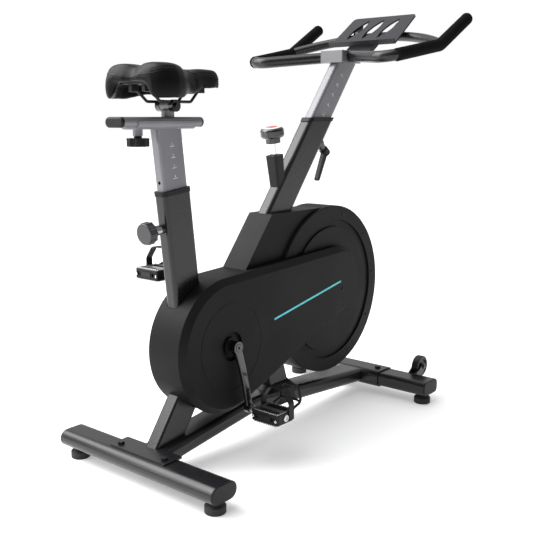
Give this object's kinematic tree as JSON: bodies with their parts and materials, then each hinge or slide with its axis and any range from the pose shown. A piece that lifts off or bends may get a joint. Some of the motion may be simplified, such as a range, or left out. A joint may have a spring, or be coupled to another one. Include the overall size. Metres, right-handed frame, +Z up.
{
  "type": "exercise bike",
  "caption": "Upright indoor exercise bike with a belt-driven enclosed flywheel, sliding saddle, rising handlebar and a turn-and-press brake knob.",
  "frame": {"origin": "on the floor, at the middle of the overall length and width", "axes": "+X forward, towards the handlebar; +Y to the rider's left; +Z up"},
  "size_m": [1.1383, 0.577, 1.18],
  "materials": {
    "frame_paint": "satin",
    "post_paint": "satin",
    "black_plastic": "matte",
    "housing_plastic": "matte",
    "gloss_black": "gloss",
    "steel": "satin",
    "chrome": "polished",
    "cast_iron": "matte",
    "alloy": "satin",
    "rubber": "matte",
    "foam": "matte",
    "saddle_skin": "semi-gloss",
    "wheel_rubber": "matte"
  },
  "bodies": {
    "root": {"rear_stabiliser": "frame_paint", "front_stabiliser": "frame_paint", "end_caps": "black_plastic", "base_tube": "frame_paint", "rear_strut": "frame_paint", "down_tube": "frame_paint", "seat_tube": "frame_paint", "mid_post": "frame_paint", "post_boot": "black_plastic", "bearings": "steel", "drive_belt": "rubber", "right_shroud": "housing_plastic", "left_shroud": "housing_plastic", "belt_cover": "housing_plastic", "seat_collar": "black_plastic", "head_collar": "black_plastic", "brake_sleeve": "black_plastic", "wheel_brackets": "frame_paint", "frame_bolts": "steel"},
    "crank_set": {"crank_spindle": "steel", "drive_pulley": "alloy", "right_crank": "gloss_black", "left_crank": "gloss_black", "crank_bolts": "steel", "left_pedal_spindle": "steel", "right_pedal_spindle": "steel"},
    "right_pedal_body": {"right_pedal": "black_plastic", "right_toe_clip": "black_plastic"},
    "left_pedal_body": {"left_pedal": "black_plastic", "left_toe_clip": "black_plastic"},
    "flywheel_set": {"flywheel": "cast_iron", "flywheel_axle": "steel", "driven_pulley": "alloy"},
    "brake_arm": {"magnet_bracket": "steel", "brake_magnets": "steel"},
    "brake_push": {"brake_rod": "chrome"},
    "brake_turn": {"brake_knob": "gloss_black"},
    "seat_lift": {"seat_post": "post_paint"},
    "seat_lock": {"seat_pin": "steel"},
    "seat_lock_knob": {"seat_pin_knob": "black_plastic"},
    "slider": {"seat_slider": "post_paint", "slider_plugs": "black_plastic"},
    "slider_lock": {"slider_knob": "black_plastic"},
    "saddle": {"saddle_clamp": "frame_paint", "saddle_rails": "steel", "saddle_base": "black_plastic", "saddle_pad": "saddle_skin"},
    "bar_lift": {"handlebar_post": "post_paint", "clamp_block": "frame_paint", "handlebar": "frame_paint", "handlebar_grips": "foam", "tray": "frame_paint", "tray_bracket": "frame_paint"},
    "bar_lock": {"clamp_lever": "gloss_black"},
    "left_wheel_body": {"left_wheel": "wheel_rubber"},
    "right_wheel_body": {"right_wheel": "wheel_rubber"},
    "rear_left_foot_body": {"rear_left_foot": "rubber"},
    "rear_right_foot_body": {"rear_right_foot": "rubber"},
    "front_left_foot_body": {"front_left_foot": "rubber"},
    "front_right_foot_body": {"front_right_foot": "rubber"}
  },
  "joints": [
    {"name": "flywheel_spin", "type": "hinge", "parent": "root", "child": "flywheel_set", "pos_m": [0.193, 0, 0.37], "axis": [0, 1, 0], "continuous": true},
    {"name": "crank_spin", "type": "hinge", "parent": "root", "child": "crank_set", "pos_m": [-0.275, 0, 0.302], "axis": [0, 1, 0], "continuous": true},
    {"name": "right_pedal_spin", "type": "hinge", "parent": "crank_set", "child": "right_pedal_body", "pos_m": [-0.23792, -0.181, 0.13609], "axis": [0, 1, 0], "continuous": true},
    {"name": "left_pedal_spin", "type": "hinge", "parent": "crank_set", "child": "left_pedal_body", "pos_m": [-0.31208, 0.156, 0.46791], "axis": [0, 1, 0], "continuous": true},
    {"name": "brake_arm_tilt", "type": "hinge", "parent": "root", "child": "brake_arm", "pos_m": [-0.022, 0, 0.478], "axis": [0, 1, 0], "range_deg": [0, 4]},
    {"name": "brake_press", "type": "slide", "parent": "root", "child": "brake_push", "axis": [0.1648, 0, -0.9863], "range_m": [0, 0.006], "stiffness_N_per_m": 3000, "springref_m": -0.002},
    {"name": "brake_turn_knob", "type": "hinge", "parent": "brake_push", "child": "brake_turn", "pos_m": [-0.0173, 0, 0.812], "axis": [-0.1648, 0, 0.9863], "range_deg": [0, 720]},
    {"name": "seat_height", "type": "slide", "parent": "root", "child": "seat_lift", "axis": [-0.1167, 0, 0.9932], "range_m": [-0.108, 0.108]},
    {"name": "seat_pin_pull", "type": "slide", "parent": "root", "child": "seat_lock", "axis": [-0.9932, 0, -0.1167], "range_m": [0, 0.008], "stiffness_N_per_m": 1500, "springref_m": -0.004},
    {"name": "seat_pin_turn", "type": "hinge", "parent": "seat_lock", "child": "seat_lock_knob", "pos_m": [-0.47392, 0, 0.60389], "axis": [-0.9932, 0, -0.1167], "range_deg": [0, 360]},
    {"name": "saddle_reach", "type": "slide", "parent": "seat_lift", "child": "slider", "axis": [1, 0, 0], "range_m": [-0.055, 0.038]},
    {"name": "slider_knob_turn", "type": "hinge", "parent": "seat_lift", "child": "slider_lock", "pos_m": [-0.498, 0, 0.812], "axis": [0, 0, 1], "range_deg": [-180, 180]},
    {"name": "saddle_tilt", "type": "hinge", "parent": "slider", "child": "saddle", "pos_m": [-0.404, 0, 0.896], "axis": [0, 1, 0], "range_deg": [-12, 12]},
    {"name": "bar_height", "type": "slide", "parent": "root", "child": "bar_lift", "axis": [0.6129, 0, 0.7902], "range_m": [-0.11, 0.055]},
    {"name": "bar_lever_turn", "type": "hinge", "parent": "root", "child": "bar_lock", "pos_m": [0.21816, 0, 0.77542], "axis": [0.7902, 0, -0.6129], "range_deg": [-180, 180]},
    {"name": "left_wheel_spin", "type": "hinge", "parent": "root", "child": "left_wheel_body", "pos_m": [0.493, 0.188, 0.09], "axis": [0, 1, 0], "continuous": true},
    {"name": "right_wheel_spin", "type": "hinge", "parent": "root", "child": "right_wheel_body", "pos_m": [0.493, -0.188, 0.09], "axis": [0, 1, 0], "continuous": true},
    {"name": "rear_left_foot_turn", "type": "hinge", "parent": "root", "child": "rear_left_foot_body", "pos_m": [-0.512, 0.24, 0.02], "axis": [0, 0, 1], "range_deg": [-180, 180]},
    {"name": "rear_right_foot_turn", "type": "hinge", "parent": "root", "child": "rear_right_foot_body", "pos_m": [-0.512, -0.24, 0.02], "axis": [0, 0, 1], "range_deg": [-180, 180]},
    {"name": "front_left_foot_turn", "type": "hinge", "parent": "root", "child": "front_left_foot_body", "pos_m": [0.422, 0.24, 0.02], "axis": [0, 0, 1], "range_deg": [-180, 180]},
    {"name": "front_right_foot_turn", "type": "hinge", "parent": "root", "child": "front_right_foot_body", "pos_m": [0.422, -0.24, 0.02], "axis": [0, 0, 1], "range_deg": [-180, 180]}
  ],
  "couplings": [
    {"joint": "crank_spin", "follows": "flywheel_spin", "ratio": 0.19643},
    {"joint": "brake_arm_tilt", "follows": "brake_turn_knob", "ratio": 0.005556}
  ]
}
